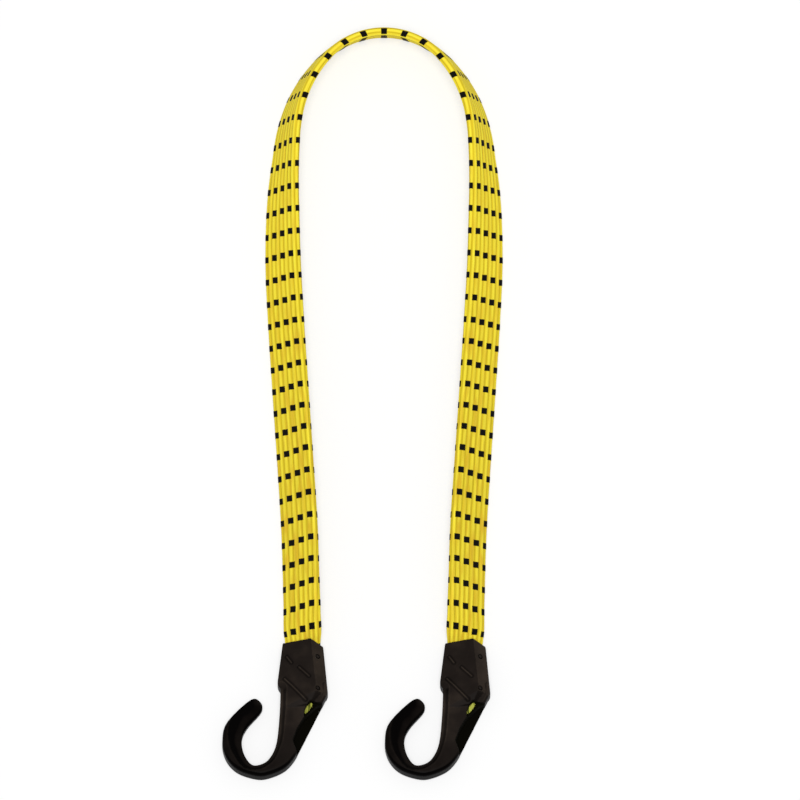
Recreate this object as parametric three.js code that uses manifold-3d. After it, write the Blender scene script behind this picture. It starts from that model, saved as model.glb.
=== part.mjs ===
// Flat elastic cord with a plastic hook on each end, laid out on a surface as an arch with two legs.
// Millimetres, +X to the right, +Y from the hooks to the arch, +Z up from the surface at zero.
// The origin lies on the surface, at the middle of the two hooks.

import * as THREE from 'three';
import { ConvexGeometry } from 'three/addons/geometries/ConvexGeometry.js';
import { mergeVertices } from 'three/addons/utils/BufferGeometryUtils.js';
import Module from 'manifold-3d';

const wasm = await Module();
wasm.setup();

// Driving dimensions

const clearance = 0.3;
const overrun = 5;

const strapWidth = 20;
const strapThickness = 3.6;
const sheathWall = 0.5;
const wideStrandCount = 5;
const wideStrandWidth = 2.2;

const hookLength = 65;
const hookWidth = 47.6;
const hookHeight = 12;
const hookSpacing = 73.6;
const armThickness = 9;
const armRounding = 2;
const tipRadius = 3.6;
const backWall = 0.9;

const sleeveWall = 0.5;
const sleeveLength = 22;
const sleeveBelowMouth = 3;
const strapEndBelowMiddle = 3.4;
const slotWidth = 2.2;
const pocketFloor = 1.5;
const pocketWall = 0.75;
const ledgeWall = 0.5;

const pinRadius = 0.7;
const pinFromSleeveSide = 1.2;
const upperPinFromSleeveEnd = 5;
const lowerPinFromSleeveEnd = 1.4;

// The strap's width inside the hook, as shares of its free width
const mouthWidthShare = 0.8;
const grippedWidthShare = 0.72;

// How far the strap's slanted end rises across its width, as a share of that width
const endSlantShare = 1;

// Steps along the straight sides and round the ends of the strap's section
const sideSteps = 5;
const endSteps = 4;

// Sizes that follow from them

const mouthY = hookLength / 2;
const sleeveInnerWidth = strapWidth * grippedWidthShare + 2 * clearance;
const sleeveInnerHeight = strapThickness + 2 * clearance;
const sleeveOuterWidth = sleeveInnerWidth + 2 * sleeveWall;
const sleeveOuterHeight = sleeveInnerHeight + 2 * sleeveWall;
const sleeveTopY = mouthY - sleeveBelowMouth;
const sleeveBottomY = sleeveTopY - sleeveLength;
const cavityWidth = sleeveOuterWidth + 2 * clearance;
const cavityHeight = sleeveOuterHeight + 2 * clearance;
const strapMiddleZ = backWall + cavityHeight / 2;
const ledgeFloor = backWall + cavityHeight + ledgeWall;

// Across its width a hook's places run from the strap's middle, and its left side is this share away
const hookLeftShare = -0.765;
const archX = -hookWidth * (hookLeftShare + 0.5);
const sides = { left: -1, right: 1 };

// Materials

const wovenYellow = new THREE.MeshStandardMaterial({ color: 0xf0dc28, roughness: 0.85, metalness: 0 });
const naturalRubber = new THREE.MeshStandardMaterial({ color: 0xd8cfae, roughness: 0.7, metalness: 0 });
const blackPlastic = new THREE.MeshStandardMaterial({ color: 0x221c18, roughness: 0.35, metalness: 0 });
const plainSteel = new THREE.MeshStandardMaterial({ color: 0x9a9a9a, roughness: 0.4, metalness: 1 });
const blackSteel = new THREE.MeshStandardMaterial({ color: 0x2a2a2c, roughness: 0.45, metalness: 1 });

// The route from the arch's top to the left hook's mouth: x from the arch's axis, y and z of the strap's
// middle, its roll in degrees, which raises its inner edge, and its width as a share of its free width

const leftRoute = [
  [0, 326.4, 9.8, 73.3, 1],
  [-4.6, 326.1, 9.8, 73.3, 1],
  [-9.1, 325.2, 9.8, 73.4, 1],
  [-17.1, 322, 9.8, 73.6, 1],
  [-24.9, 316.4, 9.75, 73.5, 1],
  [-31.4, 308.9, 9.7, 72, 1],
  [-36.8, 300.1, 9.6, 69.5, 1],
  [-40.8, 290.3, 9.4, 66.5, 1],
  [-43.3, 279.7, 9.1, 62.5, 1],
  [-44.8, 265.7, 8.8, 57.5, 1],
  [-45.8, 251, 8.2, 50.5, 1],
  [-46.1, 234.3, 7.6, 44.5, 1],
  [-45.9, 215.1, 7.2, 40.5, 1],
  [-44.6, 188.6, 7, 39, 1],
  [-42.4, 152.3, 7, 39, 1],
  [-40.3, 119.4, 7.1, 39.5, 1],
  [-38.3, 86.1, 7, 38.5, 1],
  [-37.4, 58.1, 7, 38, 1],
  [-37.1, 48.7, 6.8, 36, 0.99],
  [-37, 43.3, 6.4, 32.5, 0.97],
  [-36.9, 40.1, 5.7, 26.5, 0.93],
  [-36.8, 37.2, 4.8, 18.5, 0.88],
  [-36.8, 34.7, 4.1, 10, 0.83],
];

// The rest of it, in the hook: each row ends with how much of the end's slant that place has

const inHook = [
  [mouthY, 3, mouthWidthShare, 0],
  [sleeveTopY + clearance, 0, grippedWidthShare, 0],
  [sleeveBottomY, 0, grippedWidthShare, 0],
  [(sleeveBottomY - strapEndBelowMiddle) / 2, 0, grippedWidthShare, endSlantShare / 2],
  [-strapEndBelowMiddle, 0, grippedWidthShare, endSlantShare],
];

function leftHalf() {
  const free = leftRoute.map(([x, y, z, roll, share]) => ({ x, y, z, roll, share, slant: 0 }));
  const held = inHook.map(([y, roll, share, slant]) => ({
    x: -hookSpacing / 2, y, z: strapMiddleZ, roll, share, slant,
  }));
  return [...free, ...held];
}

// Stations run from the right end over the arch to the left end. Each has the strap's middle, the direction
// across its width towards the arch's inside, and the direction out of its upper face.

function strapStations() {
  const left = leftHalf();
  const right = left.slice(1).reverse().map((s) => ({ ...s, x: -s.x }));
  const all = [...right, ...left];
  const middles = all.map((s) => new THREE.Vector3(archX + s.x, s.y, s.z));
  const up = new THREE.Vector3(0, 0, 1);
  return all.map((s, i) => {
    const next = middles[Math.min(i + 1, all.length - 1)];
    const last = middles[Math.max(i - 1, 0)];
    const along = next.clone().sub(last);
    if (s.y <= mouthY) along.set(0, Math.sign(along.y), 0);
    along.normalize();
    const inward = up.clone().cross(along).normalize();
    const rise = along.clone().cross(inward);
    const roll = THREE.MathUtils.degToRad(s.roll);
    const across = inward.clone().multiplyScalar(Math.cos(roll)).addScaledVector(rise, Math.sin(roll));
    const out = rise.clone().multiplyScalar(Math.cos(roll)).addScaledVector(inward, -Math.sin(roll));
    return { middle: middles[i], across, out, share: s.share, slant: s.slant };
  });
}

const stations = strapStations();

// A section drawn across the strap, carried along all its stations

function sweep(section) {
  const steps = stations.length - 1;
  const geometry = new THREE.ExtrudeGeometry(section, { depth: steps, steps, bevelEnabled: false });
  const places = geometry.getAttribute('position');
  const point = new THREE.Vector3();
  for (let i = 0; i < places.count; i++) {
    const s = stations[Math.round(places.getZ(i))];
    point.copy(s.middle).addScaledVector(s.across, places.getX(i) * s.share).addScaledVector(s.out, places.getY(i));
    point.y += s.slant * (point.x - s.middle.x);
    places.setXYZ(i, point.x, point.y, point.z);
  }
  geometry.computeVertexNormals();
  return geometry;
}

// The strap: a woven sheath with wide and narrow rubber strands side by side in it

// A round-ended outline, with points along its straight sides too, because the strap twists

function roundEnded(width, height) {
  const radius = height / 2;
  const straight = width / 2 - radius;
  const points = [];
  for (const side of [1, -1]) {
    for (let i = 0; i < sideSteps; i++) {
      points.push(new THREE.Vector2(side * straight * (2 * i / sideSteps - 1), -side * radius));
    }
    for (let i = 0; i < endSteps; i++) {
      const angle = Math.PI * (i / endSteps - 0.5);
      points.push(new THREE.Vector2(side * (straight + radius * Math.cos(angle)), side * radius * Math.sin(angle)));
    }
  }
  return points;
}

function ringShape(width, height, wall) {
  const shape = new THREE.Shape(roundEnded(width, height));
  shape.holes.push(new THREE.Path(roundEnded(width - 2 * wall, height - 2 * wall)));
  return shape;
}

function strand(middle, width, height) {
  const half = width / 2;
  const corners = [[half, 0], [half / 2, height / 2], [-half / 2, height / 2]];
  const outline = [...corners, ...corners.map(([x, y]) => [-x, -y])];
  return sweep(new THREE.Shape(outline.map(([x, y]) => new THREE.Vector2(middle + x, y))));
}

function strands() {
  const count = 2 * wideStrandCount - 1;
  const room = strapWidth - 2 * sheathWall - (count + 1) * clearance;
  const narrowWidth = (room - wideStrandCount * wideStrandWidth) / (wideStrandCount - 1);
  const height = strapThickness - 2 * sheathWall - 2 * clearance;
  const made = [];
  let edge = sheathWall + clearance - strapWidth / 2;
  for (let i = 0; i < count; i++) {
    const width = i % 2 ? narrowWidth : wideStrandWidth;
    made.push(strand(edge + width / 2, width, height));
    edge += width + clearance;
  }
  return made;
}

// Solids for cutting and joining

function solid(geometry) {
  const bare = geometry.clone();
  for (const name of ['normal', 'uv']) bare.deleteAttribute(name);
  const merged = mergeVertices(bare);
  const vertProperties = new Float32Array(merged.getAttribute('position').array);
  const triVerts = new Uint32Array(merged.getIndex().array);
  return new wasm.Manifold(new wasm.Mesh({ numProp: 3, vertProperties, triVerts }));
}

function geometryOf(made) {
  const { vertProperties, triVerts } = made.getMesh();
  const geometry = new THREE.BufferGeometry();
  geometry.setAttribute('position', new THREE.BufferAttribute(new Float32Array(vertProperties), 3));
  geometry.setIndex(new THREE.BufferAttribute(new Uint32Array(triVerts), 1));
  geometry.computeVertexNormals();
  return geometry;
}

function prism(points, low, high) {
  const outline = new THREE.Shape(points.map(([x, y]) => new THREE.Vector2(x, y)));
  const geometry = new THREE.ExtrudeGeometry(outline, { depth: high - low, bevelEnabled: false });
  geometry.translate(0, 0, low);
  return solid(geometry);
}

// The hook's arm, seen from above. Its points are shares of the hook's width and length.

const innerEdgeShares = [
  [-0.221, -0.052], [-0.252, -0.26], [-0.326, -0.373], [-0.422, -0.413], [-0.496, -0.402], [-0.563, -0.318],
  [-0.578, -0.209], [-0.523, -0.117],
];
const tipCentreShares = [-0.462, 0.02];
const tipAngles = [-20, 45, 120];
const tipReachShares = [1, 1.05, 1];
const outerEdgeShares = [
  [-0.723, -0.099], [-0.765, -0.24], [-0.742, -0.337], [-0.679, -0.411], [-0.582, -0.462], [-0.42, -0.495],
  [-0.3, -0.481], [-0.17, -0.435], [-0.086, -0.368], [-0.029, -0.292],
];
const shankRightShares = [[0.225, 0.095], [0.233, 0.148], [0.229, 0.2]];
const shankLeftShares = [[-0.218, 0.2], [-0.21, 0.157]];

function scaled(shares) {
  return shares.map(([x, y]) => new THREE.Vector2(x * hookWidth, y * hookLength));
}

function tipPoints() {
  const [centre] = scaled([tipCentreShares]);
  return tipAngles.map((angle, i) => {
    const turn = THREE.MathUtils.degToRad(angle);
    const reach = tipRadius * tipReachShares[i];
    return new THREE.Vector2(Math.cos(turn), Math.sin(turn)).multiplyScalar(reach).add(centre);
  });
}

function armSolid() {
  const outline = new THREE.Shape();
  const start = scaled(shankLeftShares);
  outline.moveTo(start[0].x, start[0].y);
  outline.lineTo(start[1].x, start[1].y);
  outline.splineThru([...scaled(innerEdgeShares), ...tipPoints(), ...scaled(outerEdgeShares)]);
  for (const p of scaled(shankRightShares)) outline.lineTo(p.x, p.y);
  const geometry = new THREE.ExtrudeGeometry(outline, {
    depth: armThickness - 2 * armRounding,
    bevelThickness: armRounding,
    bevelSize: armRounding,
    bevelOffset: -armRounding,
    bevelSegments: 3,
    curveSegments: 4,
  });
  geometry.translate(0, 0, armRounding);
  return solid(geometry);
}

// The housing: a faceted block with a ridge right of its middle, as shares of the hook's width, length
// and height. A corner that reaches the back is there twice. It ends in a step at the shank's left edge.

const housingTopShares = [
  [-0.191, 0.486, 0.633], [0.076, 0.5, 1], [0.195, 0.465, 0.542],
  [-0.24, 0.2, 0.633], [0.132, 0.12, 0.967], [0.24, 0.122, 0.542],
  [-0.21, 0.151, 0.633], [-0.2, 0, 0.74], [0.071, 0.023, 0.8], [0.225, 0.095, 0.542],
];
const housingBackShares = [
  [-0.191, 0.486], [0.076, 0.5], [0.195, 0.465], [-0.24, 0.2], [0.24, 0.122], [-0.21, 0.151], [0.225, 0.095],
];

const stepShares = [[-0.3, 0.186], [-0.24, 0.186], [-0.231, 0.168], [-0.212, 0.15], [-0.212, -0.06], [-0.3, -0.06]];

function housingSolid() {
  const corners = [...housingTopShares, ...housingBackShares.map(([x, y]) => [x, y, 0])];
  const block = solid(new ConvexGeometry(corners.map(
    ([x, y, z]) => new THREE.Vector3(x * hookWidth, y * hookLength, z * hookHeight),
  )));
  return block.subtract(prism(scaled(stepShares).map((p) => [p.x, p.y]), -overrun, hookHeight + overrun));
}

// A point beside the strap's slanted end, this far past it

function pastEnd(x, distance) {
  return [x, x * endSlantShare - strapEndBelowMiddle - distance * Math.hypot(1, endSlantShare)];
}

function cavity() {
  const half = cavityWidth / 2;
  const top = mouthY + overrun;
  const outline = [[-half, top], pastEnd(-half, clearance), pastEnd(half, clearance), [half, top]];
  return prism(outline, backWall, backWall + cavityHeight);
}

// The pocket in the hook's right side, open above and to the right, the slot that shows the strap's end, and
// the ledge between them over the cavity. For the last two a place is a share of the hook's width and a
// distance before the strap's end, as a share of the slot's width.

const pocketTopShares = [0.142, 0.0147];
const pocketSideShares = [[-0.057, -0.154], [-0.095, -0.235], [-0.048, -0.332]];
const slotShares = [[0.013, 0], [0.017, 0.5], [0.034, 0.87], [0.071, 1], [0.099, 0.5], [0.09, 0.2], [0.063, 0]];
const ledgeShares = [
  [0.0147, -0.55], [0.013, 0], [0.017, 0.5], [0.034, 0.87], [0.071, 1], [0.231, -1.83], [0.142, -0.55],
];

function pocket() {
  const [first, second] = pocketTopShares.map((x) => pastEnd(x * hookWidth, clearance + pocketWall));
  const side = scaled(pocketSideShares).map((p) => [p.x, p.y]);
  const bottom = side[side.length - 1];
  const right = hookWidth * (1 + hookLeftShare) + overrun;
  const outline = [first, second, ...side, [bottom[0] + overrun, bottom[1]], [right, first[1]]];
  return prism(outline, pocketFloor, hookHeight + overrun);
}

function cutByEnd(shares, low) {
  return prism(shares.map(([x, y]) => pastEnd(x * hookWidth, -y * slotWidth)), low, hookHeight + overrun);
}

// Two pins lock the crimped sleeve in the housing

function pinRod(y, radius) {
  const low = strapMiddleZ + sleeveInnerHeight / 2;
  const high = hookHeight + overrun;
  const rod = new THREE.CylinderGeometry(radius, radius, high - low, 12);
  rod.rotateX(Math.PI / 2);
  rod.translate(sleeveOuterWidth / 2 - pinFromSleeveSide, y, (low + high) / 2);
  return solid(rod);
}

const pinYs = {
  upper_pin: sleeveTopY - upperPinFromSleeveEnd,
  lower_pin: sleeveBottomY + lowerPinFromSleeveEnd,
};

function withoutPins(body) {
  return Object.values(pinYs).reduce((left, y) => left.subtract(pinRod(y, pinRadius + clearance)), body);
}

function hookBody() {
  const block = housingSolid().add(armSolid());
  const cuts = [cavity(), pocket(), cutByEnd(slotShares, strapMiddleZ), cutByEnd(ledgeShares, ledgeFloor)];
  return geometryOf(withoutPins(cuts.reduce((left, cut) => left.subtract(cut), block)));
}

function sleeve() {
  const section = ringShape(sleeveOuterWidth, sleeveOuterHeight, sleeveWall);
  const tube = new THREE.ExtrudeGeometry(section, { depth: sleeveLength, bevelEnabled: false });
  tube.rotateX(Math.PI / 2);
  tube.translate(0, sleeveTopY, strapMiddleZ);
  return geometryOf(withoutPins(solid(tube)));
}

function pin(y) {
  return geometryOf(pinRod(y, pinRadius).intersect(housingSolid()));
}

// The whole cord

const cord = new THREE.Group();

function addTo(group, name, geometry, material) {
  const mesh = new THREE.Mesh(geometry, material);
  mesh.name = name;
  group.add(mesh);
}

addTo(cord, 'woven_sheath', sweep(ringShape(strapWidth, strapThickness, sheathWall)), wovenYellow);
strands().forEach((geometry, i) => addTo(cord, `rubber_strand_${i + 1}`, geometry, naturalRubber));

for (const [side, sign] of Object.entries(sides)) {
  const hook = new THREE.Group();
  hook.position.x = archX + sign * hookSpacing / 2;
  addTo(hook, `${side}_hook_body`, hookBody(), blackPlastic);
  addTo(hook, `${side}_crimp_sleeve`, sleeve(), plainSteel);
  for (const [name, y] of Object.entries(pinYs)) addTo(hook, `${side}_${name}`, pin(y), blackSteel);
  cord.add(hook);
}

export default cord;
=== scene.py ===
# An elastic cord with a moulded hook at each end, laid flat in an arch on a pale floor.
import math

import bmesh
import bpy
import numpy as np
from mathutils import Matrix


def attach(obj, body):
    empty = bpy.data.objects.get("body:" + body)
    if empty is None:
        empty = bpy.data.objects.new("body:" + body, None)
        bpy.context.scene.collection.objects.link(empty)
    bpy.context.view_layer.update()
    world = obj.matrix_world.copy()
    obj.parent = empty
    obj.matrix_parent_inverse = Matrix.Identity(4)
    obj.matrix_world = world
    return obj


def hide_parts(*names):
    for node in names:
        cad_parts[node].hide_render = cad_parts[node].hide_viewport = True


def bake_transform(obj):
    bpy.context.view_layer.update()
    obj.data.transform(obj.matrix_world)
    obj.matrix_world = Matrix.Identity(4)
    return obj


mm = 0.001
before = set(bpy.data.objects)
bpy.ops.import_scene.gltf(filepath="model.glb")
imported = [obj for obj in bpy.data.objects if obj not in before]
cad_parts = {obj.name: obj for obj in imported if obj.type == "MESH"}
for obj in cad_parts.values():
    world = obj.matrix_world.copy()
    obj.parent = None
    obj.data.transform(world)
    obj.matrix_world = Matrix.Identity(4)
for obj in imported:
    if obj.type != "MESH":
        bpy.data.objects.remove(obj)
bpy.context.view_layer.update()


# Camera: a long lens from 70 degrees above the floor, so that the picture has almost no perspective

camera = {
    "elevation": 70,
    "lens": 1500,
    "sensor": 36,
    "mmPerPixel": 0.4545,
    "pixels": 800,
    "aim": (19.89, 149.8, 5.0),
}


# It stands off by the picture's width times the lens over the sensor
def placeCamera():
    data = bpy.data.cameras.new("longLens")
    data.lens, data.sensor_width = camera["lens"], camera["sensor"]
    across = camera["pixels"] * camera["mmPerPixel"] * mm
    distance = across * camera["lens"] / camera["sensor"]
    turn = math.radians(camera["elevation"])
    holder = bpy.data.objects.new("longLens", data)
    aim = np.array(camera["aim"]) * mm
    holder.location = aim + distance * np.array((0, -math.cos(turn), math.sin(turn)))
    holder.rotation_euler = (math.pi / 2 - turn, 0, 0)
    data.clip_end = 4 * distance  # past the floor's far edge
    bpy.context.scene.collection.objects.link(holder)
    bpy.context.scene.camera = holder
    print("camera:", round(distance, 1), "m away,", camera["elevation"], "degrees up")


placeCamera()


# Colours and nodes: a hex code gives three shares of 255, which the sRGB curve takes to linear light. It is
# straight near black and a power of 2.4 above.
def linearColour(code):
    parts = [int(code[i:i + 2], 16) / 255 for i in (1, 3, 5)]
    return [p / 12.92 if p <= 0.04045 else ((p + 0.055) / 1.055) ** 2.4 for p in parts] + [1]


# Adds a node: inputs gives each socket a value or the output that feeds it, settings its other properties
def addNode(tree, kind, inputs=None, **settings):
    node = tree.nodes.new("ShaderNode" + kind)
    for key, value in settings.items():
        setattr(node, key, value)
    for key, value in (inputs or {}).items():
        if isinstance(value, bpy.types.NodeSocket):
            tree.links.new(value, node.inputs[key])
        else:
            node.inputs[key].default_value = value
    return node


def startMaterial(name):
    material = bpy.data.materials.new(name)
    material.use_nodes = True
    material.node_tree.nodes.clear()
    return material, material.node_tree


def finishMaterial(tree, shader):
    addNode(tree, "OutputMaterial", {"Surface": shader.outputs[0]})


# Woven polyester over rubber strands: dull and soft, with painted light on the rib tops and painted shade in
# the valleys, yarn lines along the strap and black tracer yarns that come up as small square marks. A yarn is
# really about 0.3 mm wide and is drawn broader, so that it shows.
sheath = {
    # Painted light and shade: the ridge colour is painted light on the rib tops, the valley colour painted
    # shade between the ribs
    "ridge": "#FFEA40",
    "valleyShade": "#C8AC0E",
    "ochre": "#E4BA2C",
    "mark": "#030201",
    "tail": "#C8CC58",
    # Painted shade in the gaps between the cut end's frayed yarns
    "tailGapShade": "#4C5216",
    "yarnWidth": 0.55,
    "yarnRun": 18,
    "yarnNoise": (0.3, 0.7),
    "yarnShade": (0.86, 1.04),
    "ochreWidth": 2.8,
    "ochreRun": 14,
    "ochreNoise": (0.45, 0.75),
    "ochreShare": (0.25, 0.8),  # near the arch and near the hooks
    "fade": (60, 240),  # from the arch's top
    # Painted light: the colour is scaled brighter near the arch and a little darker near the hooks
    "level": (1.12, 0.98),  # near the arch and near the hooks
    "edgeBlur": 0.1,
    "tailFade": (344, 348),  # from the arch's top
    "tailNoise": (0.42, 0.55),
    "crossPitch": 1.2,
    "crossLean": 0.6,
    "crossShare": 0.4,
    "crossDepth": 0.1,
    "crossStrength": 0.5,
    "roughness": 0.85,
    "specular": 0.1,
    "sheen": 0.05,
    "sheenRoughness": 0.4,
}


# The colour goes from a painted shade in the valleys to a painted light on the ridges by the relief, is tinted
# ochre in long patches, shaded at random by the yarns, brightened towards the arch with painted light, and is
# black in the marks. The cut end in the hook is frayed and greener, with painted shade between its yarns.
def wovenPolyester(markHalfWidth, markHalfLength):
    material, tree = startMaterial("wovenPolyester")
    place = addNode(tree, "UVMap", uv_map="weave").outputs[0]
    along = addNode(tree, "SeparateXYZ", {0: place}).outputs[1]
    markPlace = addNode(tree, "Attribute", attribute_name="markPlace").outputs["Vector"]
    marks = addNode(tree, "SeparateXYZ", {0: markPlace}).outputs
    relief = addNode(tree, "Attribute", attribute_name="relief").outputs["Fac"]

    yarnPlace = addNode(tree, "Mapping", {
        0: place, "Scale": (1 / sheath["yarnWidth"], 1 / sheath["yarnRun"], 1)}).outputs[0]
    yarns = addNode(tree, "TexNoise", {
        "Vector": yarnPlace, "Scale": 1.0, "Detail": 2.0}, noise_dimensions="2D").outputs[0]
    ochrePlace = addNode(tree, "Mapping", {
        0: place, "Scale": (1 / sheath["ochreWidth"], 1 / sheath["ochreRun"], 1)}).outputs[0]
    patches = addNode(tree, "TexNoise", {
        "Vector": ochrePlace, "Scale": 1.0, "Detail": 1.0}, noise_dimensions="2D").outputs[0]

    fromArch = addNode(tree, "MapRange", {
        "Value": along, "From Min": sheath["fade"][0], "From Max": sheath["fade"][1]}).outputs[0]
    ochreFull = addNode(tree, "MapRange", {
        "Value": fromArch, "To Min": sheath["ochreShare"][0], "To Max": sheath["ochreShare"][1]}).outputs[0]
    ochreShare = addNode(tree, "MapRange", {
        "Value": patches, "From Min": sheath["ochreNoise"][0], "From Max": sheath["ochreNoise"][1],
        "To Max": ochreFull}).outputs[0]
    yarnShade = addNode(tree, "MapRange", {
        "Value": yarns, "From Min": sheath["yarnNoise"][0], "From Max": sheath["yarnNoise"][1],
        "To Min": sheath["yarnShade"][0], "To Max": sheath["yarnShade"][1]}).outputs[0]
    # Painted light: a brightness factor, higher near the arch and a little lower near the hooks
    level = addNode(tree, "MapRange", {
        "Value": fromArch, "To Min": sheath["level"][0], "To Max": sheath["level"][1]}).outputs[0]

    # Painted light on the rib tops and painted shade in the valleys, by the squared rib height
    ribShading = addNode(tree, "Mix", {
        0: relief, 6: linearColour(sheath["valleyShade"]), 7: linearColour(sheath["ridge"])},
        data_type="RGBA").outputs[2]
    tinted = addNode(tree, "Mix", {
        0: ochreShare, 6: ribShading, 7: linearColour(sheath["ochre"])}, data_type="RGBA").outputs[2]
    shade = addNode(tree, "Math", {0: yarnShade, 1: level}, operation="MULTIPLY").outputs[0]
    lit = addNode(tree, "VectorMath", {0: tinted, "Scale": shade}, operation="SCALE").outputs[0]
    shaded = addNode(tree, "VectorMath", {0: lit, 1: (1, 1, 1)}, operation="MINIMUM").outputs[0]  # at most 1

    blur = sheath["edgeBlur"]
    inWidth, inLength = (addNode(tree, "MapRange", {
        "Value": marks[axis], "From Min": half - blur, "From Max": half + blur, "To Min": 1.0,
        "To Max": 0.0}).outputs[0] for axis, half in enumerate((markHalfWidth, markHalfLength)))
    inMark = addNode(tree, "Math", {0: inWidth, 1: inLength}, operation="MULTIPLY").outputs[0]
    marked = addNode(tree, "Mix", {
        0: inMark, 6: shaded, 7: linearColour(sheath["mark"])}, data_type="RGBA").outputs[2]

    tailYarns = addNode(tree, "MapRange", {
        "Value": yarns, "From Min": sheath["tailNoise"][0], "From Max": sheath["tailNoise"][1]}).outputs[0]
    # Painted shade: dark gaps between the cut end's frayed yarns
    frayed = addNode(tree, "Mix", {
        0: tailYarns, 6: linearColour(sheath["tailGapShade"]), 7: linearColour(sheath["tail"])},
        data_type="RGBA").outputs[2]
    inTail = addNode(tree, "MapRange", {
        "Value": along, "From Min": sheath["tailFade"][0], "From Max": sheath["tailFade"][1]}).outputs[0]
    colour = addNode(tree, "Mix", {0: inTail, 6: marked, 7: frayed}, data_type="RGBA").outputs[2]

    # Cross yarns lean back to each side of a rib's middle: a sine of the place along plus a share of the
    # place to the side
    phase = addNode(tree, "Math", {
        0: marks[2], 1: sheath["crossLean"], 2: along}, operation="MULTIPLY_ADD").outputs[0]
    turns = addNode(tree, "Math", {
        0: phase, 1: 2 * math.pi / sheath["crossPitch"]}, operation="MULTIPLY").outputs[0]
    wave = addNode(tree, "Math", {0: turns}, operation="SINE").outputs[0]
    height = addNode(tree, "Math", {
        0: wave, 1: sheath["crossShare"], 2: yarns}, operation="MULTIPLY_ADD").outputs[0]
    bump = addNode(tree, "Bump", {
        "Height": height, "Strength": sheath["crossStrength"], "Distance": sheath["crossDepth"] * mm})
    finishMaterial(tree, addNode(tree, "BsdfPrincipled", {
        "Base Color": colour, "Roughness": sheath["roughness"], "Specular IOR Level": sheath["specular"],
        "Sheen Weight": sheath["sheen"], "Sheen Roughness": sheath["sheenRoughness"],
        "Normal": bump.outputs[0]}))
    return material


strap = {
    "width": 20,
    "thickness": 3.6,
    "archX": 12.614,
    "hookOffset": 36.8,
    "middleInHook": 3.8,
    "mouthY": 32.5,
    "gripY": 29.5,
    "ribShift": -0.6,
    "grooveDepth": 0.4,
    "proud": 0.08,
    "columns": 9,
    "markWidth": 3.0,
    "markLength": 2.95,
    "markSlant": 0.16,
    "edgeColumn": 2,
    "edgeSlant": -0.24,
    "slantFrom": 10,
    "markProud": 0.1,
    "markEdge": 0.3,
    "around": 112,
    "step": 0.55,
    "length": 350,
    "stretchFrom": 270,
    "stretchTo": 34,
    "pathStep": 12,  # rows to each point of the cord's path
}

# The strap isn't stretched evenly and its cover has crept round it. Some of its mark rows, by number: how far
# from the arch's top, how much further that is at the outer edge, the first column's place round the strap,
# and how far the columns are pushed out from there.
markRows = [
    (0, 0, 0, 1.1, 0), (2, 20.4, 0, 1.1, 0), (3, 31.5, 0, 1.4, 0), (5, 54, 0, 1.3, 0), (7, 77, 0, 1.8, 0),
    (10, 109.5, 0, 1.4, 0), (15, 163.2, -0.35, 1.4, 0.2), (17, 184.2, -0.25, 1.8, 0.4),
    (21, 225.8, 0.2, 2.1, 0.9), (25, 268.8, 0.3, 1.9, 0.9), (27, 289.8, 0.6, 1.6, 0.8),
    (28, 300.5, 0.7, 1.4, 0.6), (29, 310.6, 2.2, 0.8, 0.4), (31, 331, 2.5, 0.8, 0),
]

# The strap's middle line, from the arch's top to the mouth of the left hook: x from the arch's axis, y and z,
# its roll in degrees, which raises its inner edge, and its width as a share of its free width
leftRoute = [
    (0, 326.4, 9.8, 73.3, 1), (-4.6, 326.1, 9.8, 73.3, 1), (-9.1, 325.2, 9.8, 73.4, 1),
    (-17.1, 322, 9.8, 73.6, 1), (-24.9, 316.4, 9.75, 73.5, 1), (-31.4, 308.9, 9.7, 72, 1),
    (-36.8, 300.1, 9.6, 69.5, 1), (-40.8, 290.3, 9.4, 66.5, 1), (-43.3, 279.7, 9.1, 62.5, 1),
    (-44.8, 265.7, 8.8, 57.5, 1), (-45.8, 251, 8.2, 50.5, 1), (-46.1, 234.3, 7.6, 44.5, 1),
    (-45.9, 215.1, 7.2, 40.5, 1), (-44.6, 188.6, 7, 39, 1), (-42.4, 152.3, 7, 39, 1),
    (-40.3, 119.4, 7.1, 39.5, 1), (-38.3, 86.1, 7, 38.5, 1), (-37.4, 58.1, 7, 38, 1),
    (-37.1, 48.7, 6.8, 36, 0.99), (-37, 43.3, 6.4, 32.5, 0.97), (-36.9, 40.1, 5.7, 26.5, 0.93),
    (-36.8, 37.2, 4.8, 18.5, 0.88), (-36.8, 34.7, 4.1, 10, 0.83),
]

# Inside the hook: y, roll, width share and how much of the cut end's slant that place has
inHook = [(32.5, 3, 0.8, 0), (29.8, 0, 0.72, 0), (7.5, 0, 0.72, 0), (2.05, 0, 0.72, 0.5), (-3.4, 0, 0.72, 1)]


# Rows of x, y, z, roll, share and slant for the whole strap, from the right end over the arch to the left:
# the left half, and its mirror image before it
def strapRows():
    held = [(-strap["hookOffset"], y, strap["middleInHook"], roll, share, slant)
            for y, roll, share, slant in inHook]
    left = np.array([row + (0,) for row in leftRoute] + held, float)
    right = left[:0:-1] * (-1, 1, 1, 1, 1, 1)
    rows = np.vstack((right, left))
    rows[:, 0] += strap["archX"]
    return rows


# How far along each row is: the sum of the straight distances so far
def runLength(rows):
    return np.concatenate(([0], np.cumsum(np.linalg.norm(np.diff(rows[:, :3], axis=0), axis=1))))


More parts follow.
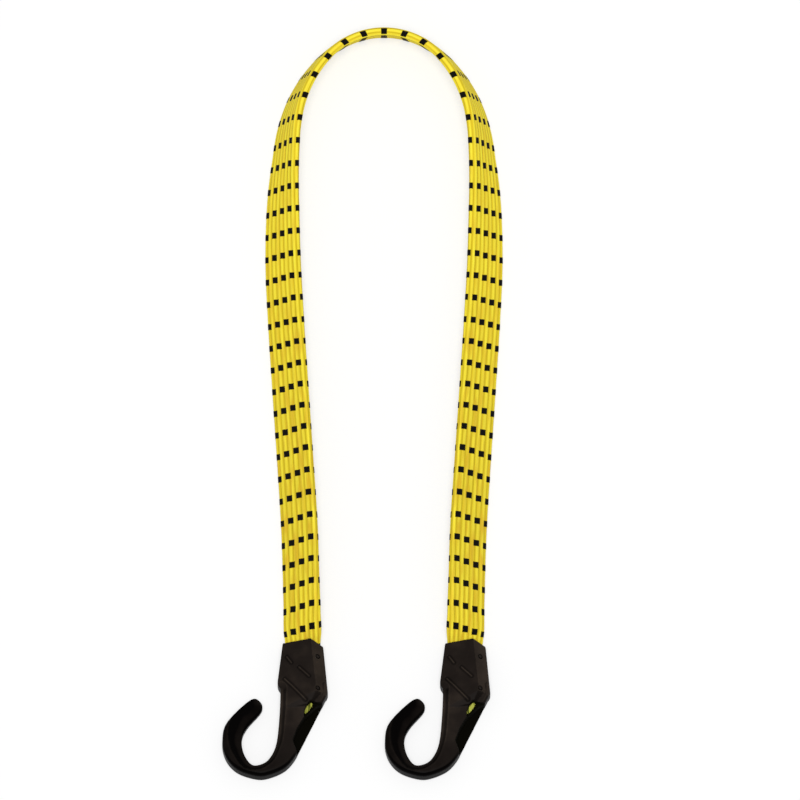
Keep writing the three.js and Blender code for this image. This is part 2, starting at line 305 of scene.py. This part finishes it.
# A smooth curve through the rows: each value is a cubic between two rows, whose slopes there are those of
# the line between the neighbours
def smoothRows(rows, step):
    knots = runLength(rows)
    slopes = np.gradient(rows, knots, axis=0)
    count = 2 * int(round(knots[-1] / 2 / step)) + 1  # odd, so that one row is the arch's top
    places = np.linspace(0, knots[-1], count)
    k = np.clip(np.searchsorted(knots, places, side="right") - 1, 0, len(knots) - 2)
    gap = (knots[k + 1] - knots[k])[:, None]
    t = (places[:, None] - knots[k][:, None]) / gap
    return (
        (2 * t**3 - 3 * t**2 + 1) * rows[k] + (t**3 - 2 * t**2 + t) * gap * slopes[k]
        + (3 * t**2 - 2 * t**3) * rows[k + 1] + (t**3 - t**2) * gap * slopes[k + 1])


# Directions at each row: across the width towards the arch's inside, and out of the upper face. Both are the
# level ones turned by the roll about the line's own direction.
def strapFrames(rows):
    along = np.gradient(rows[:, :3], axis=0)
    straight = rows[:, 1] < strap["mouthY"]
    along[straight] = along[straight] * (0, 1, 0)  # inside a hook
    along /= np.linalg.norm(along, axis=1)[:, None]
    inward = np.cross((0, 0, 1), along)
    inward /= np.linalg.norm(inward, axis=1)[:, None]
    rise = np.cross(along, inward)
    roll = np.radians(rows[:, 3])[:, None]
    return inward * np.cos(roll) + rise * np.sin(roll), rise * np.cos(roll) - inward * np.sin(roll)


# The section is a flat bar with round ends, walked at even steps from the middle of its lower face.
# A turn from 0 to 180 degrees round each end joins the faces. It gives each point's place, its outward
# direction and its walk from the middle of the upper face.
def strapSection():
    radius = strap["thickness"] / 2
    straight = strap["width"] / 2 - radius
    halfRound = 2 * straight + math.pi * radius
    walk = (np.arange(strap["around"] + 1) / strap["around"] * 2 - 1) * halfRound
    far = np.abs(walk)
    turn = np.clip((far - straight) / radius, 0, math.pi)
    back = np.clip(far - straight - math.pi * radius, 0, None)
    x = np.where(far < straight, far, straight + radius * np.sin(turn)) - back
    y = radius * np.cos(turn)
    side = np.where(walk < 0, -1, 1)
    place = np.stack((side * x, y), axis=1)
    outward = np.stack((side * np.sin(turn), np.cos(turn)), axis=1)
    return place, outward, walk


# The section is carried along the middle line. Ribs are round backs, two to each column of marks and a little
# to one side of it: their height is the root of 1 less the square of the share of the way to a rib's edge.
# A mark stands where a point is within half a mark of both a column and a row.
def buildStrap():
    rows = smoothRows(strapRows(), strap["step"])
    across, out = strapFrames(rows)
    middle = len(rows) // 2
    runs = runLength(rows)
    fromTop = np.abs(runs - runs[middle])
    place, outward, walk = strapSection()
    numbers, places, *others = np.array(markRows, float).T
    lean, shift, push = (np.interp(fromTop, places, values)[:, None] for values in others)
    girth = walk[-1] - walk[0]
    spacing = girth / strap["columns"]
    pushedBack = walk - push * np.sin(2 * math.pi * walk / girth)
    offColumn = (pushedBack - shift + spacing / 2) % spacing - spacing / 2
    fromColumn = np.abs(offColumn)
    ribWidth = spacing / 2
    fromRib = np.abs((offColumn - strap["ribShift"] + ribWidth / 2) % ribWidth - ribWidth / 2)
    relief = np.sqrt(1 - (2 * fromRib / ribWidth) ** 2)
    rowPlaces = np.interp(np.arange(numbers[-1] + 1), numbers, places)
    atEdge = (pushedBack - shift + spacing / 2) // spacing == strap["edgeColumn"]
    slant = np.where(atEdge, strap["edgeSlant"], strap["markSlant"]) * np.clip(
        fromTop / strap["slantFrom"], 0, 1)[:, None]
    along = fromTop[:, None] + lean * place[:, 0] / strap["width"] * 2 - slant * offColumn
    fromRow = np.abs(along[..., None] - rowPlaces).min(2)
    inWidth = np.clip((strap["markWidth"] / 2 - fromColumn) / strap["markEdge"] + 0.5, 0, 1)
    inLength = np.clip((strap["markLength"] / 2 - fromRow) / strap["markEdge"] + 0.5, 0, 1)
    inMark = inWidth * inLength
    lift = strap["proud"] - strap["grooveDepth"] * (1 - relief) + strap["markProud"] * inMark
    section = place[None] + outward[None] * lift[..., None]
    points = (rows[:, None, :3] + across[:, None] * section[..., :1] * rows[:, None, 4:5]
              + out[:, None] * section[..., 1:])
    points[..., 1] += rows[:, None, 5] * (points[..., 0] - rows[:, None, 0])
    material = wovenPolyester(strap["markWidth"] / 2, strap["markLength"] / 2)
    # The squared rib height goes to the material for the ribs' painted light and shade
    values = {
        "relief": relief**2,
        "markPlace": np.stack((fromColumn, fromRow, fromRib), axis=2),
    }
    halves = {"right": slice(0, middle + 1), "left": slice(middle, len(rows))}
    for side, part in halves.items():
        name = f"{side}_strap_half"
        inPart = {key: value[part] for key, value in values.items()}
        piece = strapTube(name, points[part], walk, fromTop[part], inPart)
        piece.data.materials.append(material)
        declareStrap(piece, side, rows[part, :3])
    print("strap:", len(rows), "rows,", round(fromTop[0] * 2), "mm from end to end")


# A closed tube from a grid of points, whose last column repeats the first, with a flat lid at each end
def strapTube(name, points, walk, fromTop, values):
    rings, columns = len(points), points.shape[1] - 1
    i, j = np.meshgrid(np.arange(rings - 1), np.arange(columns), indexing="ij")
    corner = [(i, j), (i, j + 1), (i + 1, j + 1), (i + 1, j)]
    quads = np.stack([a * columns + b % columns for a, b in corner], axis=2).reshape(-1, 4)
    uv = np.stack([np.stack((walk[b], fromTop[a]), axis=2) for a, b in corner], axis=2).reshape(-1, 2)
    flat = points[:, :-1].reshape(-1, 3)
    lids = [list(range(columns))[::-1], list(range((rings - 1) * columns, rings * columns))]
    mesh = bpy.data.meshes.new(name)
    mesh.from_pydata((flat * mm).tolist(), [], quads.tolist() + lids)
    lidUv = np.array([(walk[c % columns], fromTop[c // columns]) for lid in lids for c in lid])
    uv = np.vstack((uv, lidUv)).astype(np.float32)
    mesh.uv_layers.new(name="weave").data.foreach_set("uv", uv.ravel())
    for key, value in values.items():
        inRings = np.ascontiguousarray(value[:, :-1], dtype=np.float32)
        kind, item = ("FLOAT_VECTOR", "vector") if inRings.ndim == 3 else ("FLOAT", "value")
        mesh.attributes.new(key, kind, "POINT").data.foreach_set(item, inRings.ravel())
    mesh.polygons.foreach_set("use_smooth", np.arange(len(mesh.polygons)) < len(quads))
    piece = bpy.data.objects.new(name, mesh)
    bpy.context.scene.collection.objects.link(piece)
    return piece


# Each half is a free cord from its crimped sleeve to the arch, where the other half goes on. Its mesh is
# baked into place, and the imported sheath and rubber strands are hidden.
def declareStrap(piece, side, line):
    ends = line if side == "left" else line[::-1]
    line = ends[ends[:, 1] > 0]
    line = np.vstack((line[:-1:strap["pathStep"]], line[-1:]))
    strands = [f"rubber_strand_{i}" for i in range(1, 10)]
    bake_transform(piece)
    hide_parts("woven_sheath", *strands)


buildStrap()


# Hooks: the imported solid, remeshed fine so that its edges come out rounded as moulded ones, then carved.
# Places on a hook are from its axis and the floor. The painted shading values run from 1, painted light
# that makes the plastic pale, to -1, painted shade that makes it near black.
hook = {
    "merge": 0.001,
    "voxel": 0.3,
    "smoothing": 7,
    "smoothShare": 0.5,
    "length": 65,
    "width": 47.6,
    "topTilt": 0.5,
    "grooves": [((-7.3, 24.8), (-5.1, 21.6)), ((-1.7, 19.1), (2.9, 14.6)), ((-8.3, 14.2), (1.3, 3.7))],
    "grooveGap": 0.65,
    "grooveWidth": 0.32,
    "grooveDepth": 0.42,
    "grooveLow": 5,
    # Painted light on the rib between each pair of grooves and painted shade in the grooves
    "grooveShading": 0.65,
    "slope": 0.55,
    "slopeLow": 3.6,
    # Painted shade in the slope's cove and painted light on the rest of the slope
    "slopeShading": -0.7,
    "edgeStep": 1.6,
    "cove": 0.72,
    "coveWidth": 0.25,
    "coveDepth": 0.35,
    # Share that turns the slope's painted shade into painted light away from the cove
    "slopeLitShare": 0.3,
    "shankTop": 9.5,
    "tipRight": -14,
    "facetTilt": (0.25, 0.35),
    # Painted light: the housing's facets that face right are made paler
    "facetLight": 0.4,
    "housing": (2, 8),  # from the arm into the housing
    "rimWidth": 0.5,
    "rimDrop": 0.5,
    # Painted highlight on the rim just past the slope
    "rimHighlight": 0.3,
    "frontTilt": (0.2, 0.5),
    # Painted shade on the hook's walls that face the front
    "frontShade": -0.8,
    "wallTilt": 0.6,
    "hollowReach": 0.45,
    "hollowLow": 1.0,
}

# Places along the arm's inner edge, from the housing's step to the tip: shares of the hook's width and
# length, then the height of the arm's top, the width of the slope that falls from it to that edge, and the
# painted shading of the arm near that place, which darkens it towards the tip
innerEdge = [
    (-0.212, 0.152, 7.9, 2.7, 0.15), (-0.221, -0.052, 9, 2.6, 0.15), (-0.252, -0.26, 9, 2.3, -0.15),
    (-0.326, -0.373, 9, 2.4, -0.4), (-0.422, -0.413, 9, 2.7, -0.5), (-0.496, -0.402, 9, 3.6, -0.6),
    (-0.563, -0.318, 9, 5, -0.7), (-0.578, -0.209, 9, 6.6, -0.85), (-0.523, -0.117, 9, 8.4, -1),
    (-0.39, 0.001, 9, 9.5, -1),
]

# The outline of the pocket, the ledge and the slot together
hollowOutline = [
    (0.7, -4.3), (0.6, -2.8), (0.8, -1), (1.6, 0.9), (3.4, 3.1), (11, 1.9), (16.2, 1.8), (2.7, -21.6),
    (-2.3, -21.7), (-4.5, -15.3), (-2.7, -10),
]


# A point is inside an outline if a line from it to the right crosses the outline an odd number of times
def insideOutline(points, outline):
    start = np.array(outline, float)
    end = np.roll(start, -1, axis=0)
    x, y = points[:, :1], points[:, 1:2]
    spans = (start[:, 1] > y) != (end[:, 1] > y)
    crossing = start[:, 0] + (y - start[:, 1]) / (end[:, 1] - start[:, 1]) * (end[:, 0] - start[:, 0])
    return (spans & (x < crossing)).sum(1) % 2 == 1


# Distance of each point from a line of straight pieces, and how far along the line that is, in pieces: the
# foot on a piece is the dot product over the piece's length squared, kept between its ends
def nearLine(points, line):
    step = np.diff(line, axis=0)
    share = np.clip(((points[:, None] - line[:-1]) * step).sum(2) / (step**2).sum(1), 0, 1)
    gaps = np.linalg.norm(points[:, None] - line[:-1] - share[..., None] * step, axis=2)
    piece = gaps.argmin(1)
    rows = np.arange(len(points))
    return gaps[rows, piece], piece + share[rows, piece]


# The solid's loose triangles merged, rebuilt in small cubes and smoothed by moving each point part of the way
# to the middle of its neighbours
def roundedCopy(node, name):
    mesh = node.data.copy()
    soft = bmesh.new()
    soft.from_mesh(mesh)
    bmesh.ops.remove_doubles(soft, verts=soft.verts, dist=hook["merge"] * mm)
    soft.to_mesh(mesh)
    soft.free()
    piece = bpy.data.objects.new(name, mesh)
    bpy.context.scene.collection.objects.link(piece)
    remesh = piece.modifiers.new("remesh", "REMESH")
    remesh.mode, remesh.voxel_size = "VOXEL", hook["voxel"] * mm
    smooth = piece.modifiers.new("smooth", "SMOOTH")
    smooth.factor, smooth.iterations = hook["smoothShare"], hook["smoothing"]
    bpy.context.view_layer.update()
    final = piece.evaluated_get(bpy.context.evaluated_depsgraph_get())
    made = bpy.data.meshes.new_from_object(final)
    piece.modifiers.clear()
    piece.data = made
    bpy.data.meshes.remove(mesh)
    return piece


# Three numbers for each point
def readVectors(items, key):
    values = np.empty(len(items) * 3, np.float32)
    items.foreach_get(key, values)
    return values.reshape(-1, 3)


# Each groove line is a pair of fine grooves, bell curves at equal gaps from it, with a rib between that gets
# painted light while the grooves get painted shade. The arm's inner edge is cut by a slope, which falls evenly
# towards that edge with a cove on the way. It starts at the housing's step as a narrow strip and takes in the
# whole tip. Each point also gets its painted shading, and each face whether it is in a hollow.
def carveHook(mesh, hookX):
    points = readVectors(mesh.vertices, "co") / mm
    normals = readVectors(mesh.vertex_normals, "vector")
    local = points[:, :2] - (hookX, 0)
    outlineGap, _ = nearLine(local, np.array(hollowOutline + hollowOutline[:1], float))
    onWall = (outlineGap < hook["hollowReach"]) & (np.abs(normals[:, 2]) < hook["wallTilt"])
    hollow = (insideOutline(local, hollowOutline) | onWall) & (points[:, 2] > hook["hollowLow"])

    grooved = np.zeros(len(points))
    onTop = (normals[:, 2] > hook["topTilt"]) & (points[:, 2] > hook["grooveLow"])
    for line in hook["grooves"]:
        gap, _ = nearLine(local, np.array(line, float))
        dip = np.exp(-((gap - hook["grooveGap"]) / hook["grooveWidth"]) ** 2)
        points[:, 2] -= onTop * hook["grooveDepth"] * dip
        grooved += onTop * (np.exp(-(gap / hook["grooveWidth"]) ** 2) - dip)

    sizes = (hook["width"], hook["length"], 1, 1, 1)
    edge = smoothRows(np.array(innerEdge, float) * sizes, hook["edgeStep"])
    gap, along = nearLine(local, edge[:, :2])
    top, width, paintedShadingAndTone = (np.interp(along, np.arange(len(edge)), edge[:, k]) for k in (2, 3, 4))
    onArm = (points[:, 2] > hook["slopeLow"]) & (gap < width) & (
        (local[:, 1] < hook["shankTop"]) | (local[:, 0] < hook["tipRight"]))
    inCove = np.exp(-((gap / width - hook["cove"]) / hook["coveWidth"]) ** 2)
    cut = top - hook["slope"] * (width - gap) - hook["coveDepth"] * inCove
    onSlope = onArm & (points[:, 2] > cut)
    points[:, 2] = np.where(onSlope, cut, points[:, 2])
    mesh.vertices.foreach_set("co", (points * mm).astype(np.float32).ravel())

    # Painted shading: painted light on the housing's right-facing facets, the rim past the slope, the rib
    # between grooves and the slope away from its cove; painted shade on walls facing the front, in the grooves
    # and the cove, and darker towards the tip
    onRight = np.interp(normals[:, 0], hook["facetTilt"], (0, 1)) * (local[:, 1] > 0)
    onFront = np.interp(-normals[:, 1], hook["frontTilt"], (0, 1))
    onHousing = np.interp(local[:, 1], hook["housing"], (0, 1))
    pastSlope = np.exp(-((gap - width) / hook["rimWidth"]) ** 2)
    onRim = pastSlope * (gap > width) * (points[:, 2] > top - hook["rimDrop"])
    paintedShadingAndTone = paintedShadingAndTone * (1 - onHousing) + onRight * onHousing * hook["facetLight"]
    paintedShadingAndTone += onSlope * hook["slopeShading"] * (inCove - hook["slopeLitShare"]) + onFront * hook["frontShade"]
    paintedShadingAndTone += grooved * hook["grooveShading"] + onRim * hook["rimHighlight"]
    mesh.attributes.new("paintedShadingAndTone", "FLOAT", "POINT").data.foreach_set("value", paintedShadingAndTone.astype(np.float32))

    # Faces in the hollow take the second material, whose near-black colour is painted shade
    corners = np.empty(len(mesh.loops), np.int32)
    mesh.loops.foreach_get("vertex_index", corners)
    starts = np.empty(len(mesh.polygons), np.int32)
    mesh.polygons.foreach_get("loop_start", starts)
    inHollow = np.logical_and.reduceat(hollow[corners], starts)
    mesh.polygons.foreach_set("material_index", inHollow.astype(np.int32))
    mesh.polygons.foreach_set("use_smooth", np.ones(len(mesh.polygons), bool))
    mesh.update()


# Black moulded nylon: satin, with a spark grain from the mould. Painted light makes it paler and painted shade
# a near black, as on the arm's inner slope and tip, with random patches of tone. The grain is really about 0.1
# mm and is drawn coarser, so that it shows. In the mould's deep hollows the nylon is dull, and near black with
# painted shade.
plastic = {
    "body": "#1F1A17",
    # Painted light and shade: the pale colour next is painted light, the near-black one after it painted shade
    "paintedLit": "#40372F",
    "paintedShade": "#030202",
    # Painted shade: the near-black colour of the deep hollows
    "recessShade": "#050401",
    "grain": 0.35,
    "grainDepth": 0.02,
    "grainStrength": 0.3,
    "patch": 9,
    "patchNoise": (0.3, 0.7),
    "patchShare": 0.2,
    "roughness": (0.32, 0.5),  # at the painted shade's end and the painted light's end
    "specular": 0.014,
    "recessRoughness": 0.8,
    "recessSpecular": 0.03,
}


# The colour goes from the body's to the painted light as the painted shading rises to 1, and to the painted
# shade, near black, as it falls to -1
def mouldedNylon():
    material, tree = startMaterial("blackMouldedNylon")
    place = addNode(tree, "TexCoord").outputs["Object"]
    grain = addNode(tree, "TexNoise", {
        "Vector": place, "Scale": 1 / (plastic["grain"] * mm), "Detail": 2.0}).outputs[0]
    patch = addNode(tree, "TexNoise", {
        "Vector": place, "Scale": 1 / (plastic["patch"] * mm), "Detail": 3.0}).outputs[0]
    change = addNode(tree, "MapRange", {
        "Value": patch, "From Min": plastic["patchNoise"][0], "From Max": plastic["patchNoise"][1],
        "To Min": -plastic["patchShare"], "To Max": plastic["patchShare"]}).outputs[0]
    paintedShadingMap = addNode(tree, "Attribute", attribute_name="paintedShadingAndTone").outputs["Fac"]
    paintedShadingAndTone = addNode(tree, "Math", {0: paintedShadingMap, 1: change}, operation="ADD").outputs[0]

    # Painted light towards the pale colour, painted shade towards near black
    litShare = addNode(tree, "MapRange", {"Value": paintedShadingAndTone}).outputs[0]
    paintedLit = addNode(tree, "Mix", {
        0: litShare, 6: linearColour(plastic["body"]), 7: linearColour(plastic["paintedLit"])},
        data_type="RGBA").outputs[2]
    shadeShare = addNode(tree, "MapRange", {"Value": paintedShadingAndTone, "From Min": 0.0, "From Max": -1.0}).outputs[0]
    colour = addNode(tree, "Mix", {
        0: shadeShare, 6: paintedLit, 7: linearColour(plastic["paintedShade"])}, data_type="RGBA").outputs[2]
    rough = addNode(tree, "MapRange", {
        "Value": paintedShadingAndTone, "From Min": -1.0, "From Max": 1.0, "To Min": plastic["roughness"][0],
        "To Max": plastic["roughness"][1]}).outputs[0]
    bump = addNode(tree, "Bump", {
        "Height": grain, "Strength": plastic["grainStrength"], "Distance": plastic["grainDepth"] * mm})
    finishMaterial(tree, addNode(tree, "BsdfPrincipled", {
        "Base Color": colour, "Roughness": rough, "Specular IOR Level": plastic["specular"],
        "Normal": bump.outputs[0]}))
    return material


# Painted shade: a dull material whose near-black colour stands in for the shade in the deep hollows
def recessShadeNylon():
    material, tree = startMaterial("paintedShadeNylon")
    finishMaterial(tree, addNode(tree, "BsdfPrincipled", {
        "Base Color": linearColour(plastic["recessShade"]), "Roughness": plastic["recessRoughness"],
        "Specular IOR Level": plastic["recessSpecular"]}))
    return material


# Steel: the sleeves are zinc plated, a soft grey shine with faint crystals, and the pins blackened, dark and
# almost dull. Each has its colour, its roughness and the size of its grain.
steels = {
    "zincPlatedSteel": ("#A8A8A6", 0.4, 1.5),
    "blackenedSteel": ("#211C19", 0.6, 0.6),
    "spread": 0.1,
    "depth": 0.02,
    "strength": 0.2,
}


# One noise both raises the surface and takes the roughness a little to either side
def steel(name):
    colour, roughness, grain = steels[name]
    material, tree = startMaterial(name)
    place = addNode(tree, "TexCoord").outputs["Object"]
    noise = addNode(tree, "TexNoise", {
        "Vector": place, "Scale": 1 / (grain * mm), "Detail": 4.0}).outputs[0]
    rough = addNode(tree, "MapRange", {
        "Value": noise, "To Min": roughness - steels["spread"], "To Max": roughness + steels["spread"]})
    bump = addNode(tree, "Bump", {
        "Height": noise, "Strength": steels["strength"], "Distance": steels["depth"] * mm})
    finishMaterial(tree, addNode(tree, "BsdfPrincipled", {
        "Base Color": linearColour(colour), "Metallic": 1.0, "Roughness": rough.outputs[0],
        "Normal": bump.outputs[0]}))
    return material


def buildHooks():
    nylon, shadedRecess = mouldedNylon(), recessShadeNylon()
    zinc, blackened = steel("zincPlatedSteel"), steel("blackenedSteel")
    for side, sign in (("left", -1), ("right", 1)):
        name = f"{side}_hook_body"
        piece = roundedCopy(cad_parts[name], f"{side}_hook")
        piece.data.materials.clear()
        for finish in (nylon, shadedRecess):
            piece.data.materials.append(finish)
        carveHook(piece.data, strap["archX"] + sign * strap["hookOffset"])
        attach(piece, f"{side}_hook")
        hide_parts(name)
        for part, finish in (("crimp_sleeve", zinc), ("upper_pin", blackened), ("lower_pin", blackened)):
            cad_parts[f"{side}_{part}"].material_slots[0].material = finish
        print("hook:", side, len(piece.data.polygons), "faces")


buildHooks()


# Studio: a pale floor that the camera sees as white, an even sky and one soft lamp from above the camera. The
# seen floor is partly a glow, so that it comes out white and still keeps the cord's soft shadow.
studio = {
    "sky": 0.4,
    "lamp": 2.05,
    "lampTurn": (17, 0, 0),
    "lampSize": 24,
    "floorSeen": "#FFFFFF",
    "floorLit": "#E0E0E0",
    "floorGlow": 0.6,
    "floorHalf": 20,
    "floorDrop": 0.2,
}


# One for the camera and for what it sees in a shine or through glass, nought for the light that falls on the
# cord: the largest of the three
def seenShare(tree):
    rays = addNode(tree, "LightPath").outputs
    seen = addNode(tree, "Math", {
        0: rays["Is Camera Ray"], 1: rays["Is Glossy Ray"]}, operation="MAXIMUM").outputs[0]
    return addNode(tree, "Math", {0: seen, 1: rays["Is Transmission Ray"]}, operation="MAXIMUM").outputs[0]


def buildStudio():
    world = bpy.data.worlds.new("paleRoom")
    bpy.context.scene.world = world
    world.use_nodes = True
    tree = world.node_tree
    tree.nodes.clear()
    level = addNode(tree, "MapRange", {"Value": seenShare(tree), "To Min": studio["sky"], "To Max": 1.0})
    sky = addNode(tree, "Background", {"Color": (1, 1, 1, 1), "Strength": level.outputs[0]})
    addNode(tree, "OutputWorld", {"Surface": sky.outputs[0]})

    lamp = bpy.data.lights.new("softLamp", "SUN")
    lamp.energy, lamp.angle = studio["lamp"], math.radians(studio["lampSize"])
    holder = bpy.data.objects.new("softLamp", lamp)
    holder.rotation_euler = [math.radians(a) for a in studio["lampTurn"]]
    bpy.context.scene.collection.objects.link(holder)

    material, tree = startMaterial("paleFloor")
    seen = seenShare(tree)
    colour = addNode(tree, "Mix", {
        0: seen, 6: linearColour(studio["floorLit"]), 7: linearColour(studio["floorSeen"])}, data_type="RGBA")
    matt = addNode(tree, "BsdfDiffuse", {"Color": colour.outputs[2]})
    glow = addNode(tree, "Emission", {"Color": (1, 1, 1, 1), "Strength": 1.0})
    share = addNode(tree, "Math", {0: seen, 1: studio["floorGlow"]}, operation="MULTIPLY")
    finishMaterial(tree, addNode(tree, "MixShader", {
        0: share.outputs[0], 1: matt.outputs[0], 2: glow.outputs[0]}))
    half, z = studio["floorHalf"], -studio["floorDrop"] * mm
    corners = [(-half, -half, z), (half, -half, z), (half, half, z), (-half, half, z)]
    mesh = bpy.data.meshes.new("floor")
    mesh.from_pydata(corners, [], [(0, 1, 2, 3)])
    mesh.materials.append(material)
    floor = bpy.data.objects.new("floor", mesh)
    bpy.context.scene.collection.objects.link(floor)
    bpy.context.scene.view_settings.view_transform = "Standard"
    print("studio: lamp at", studio["lamp"], "and sky at", studio["sky"])


buildStudio()
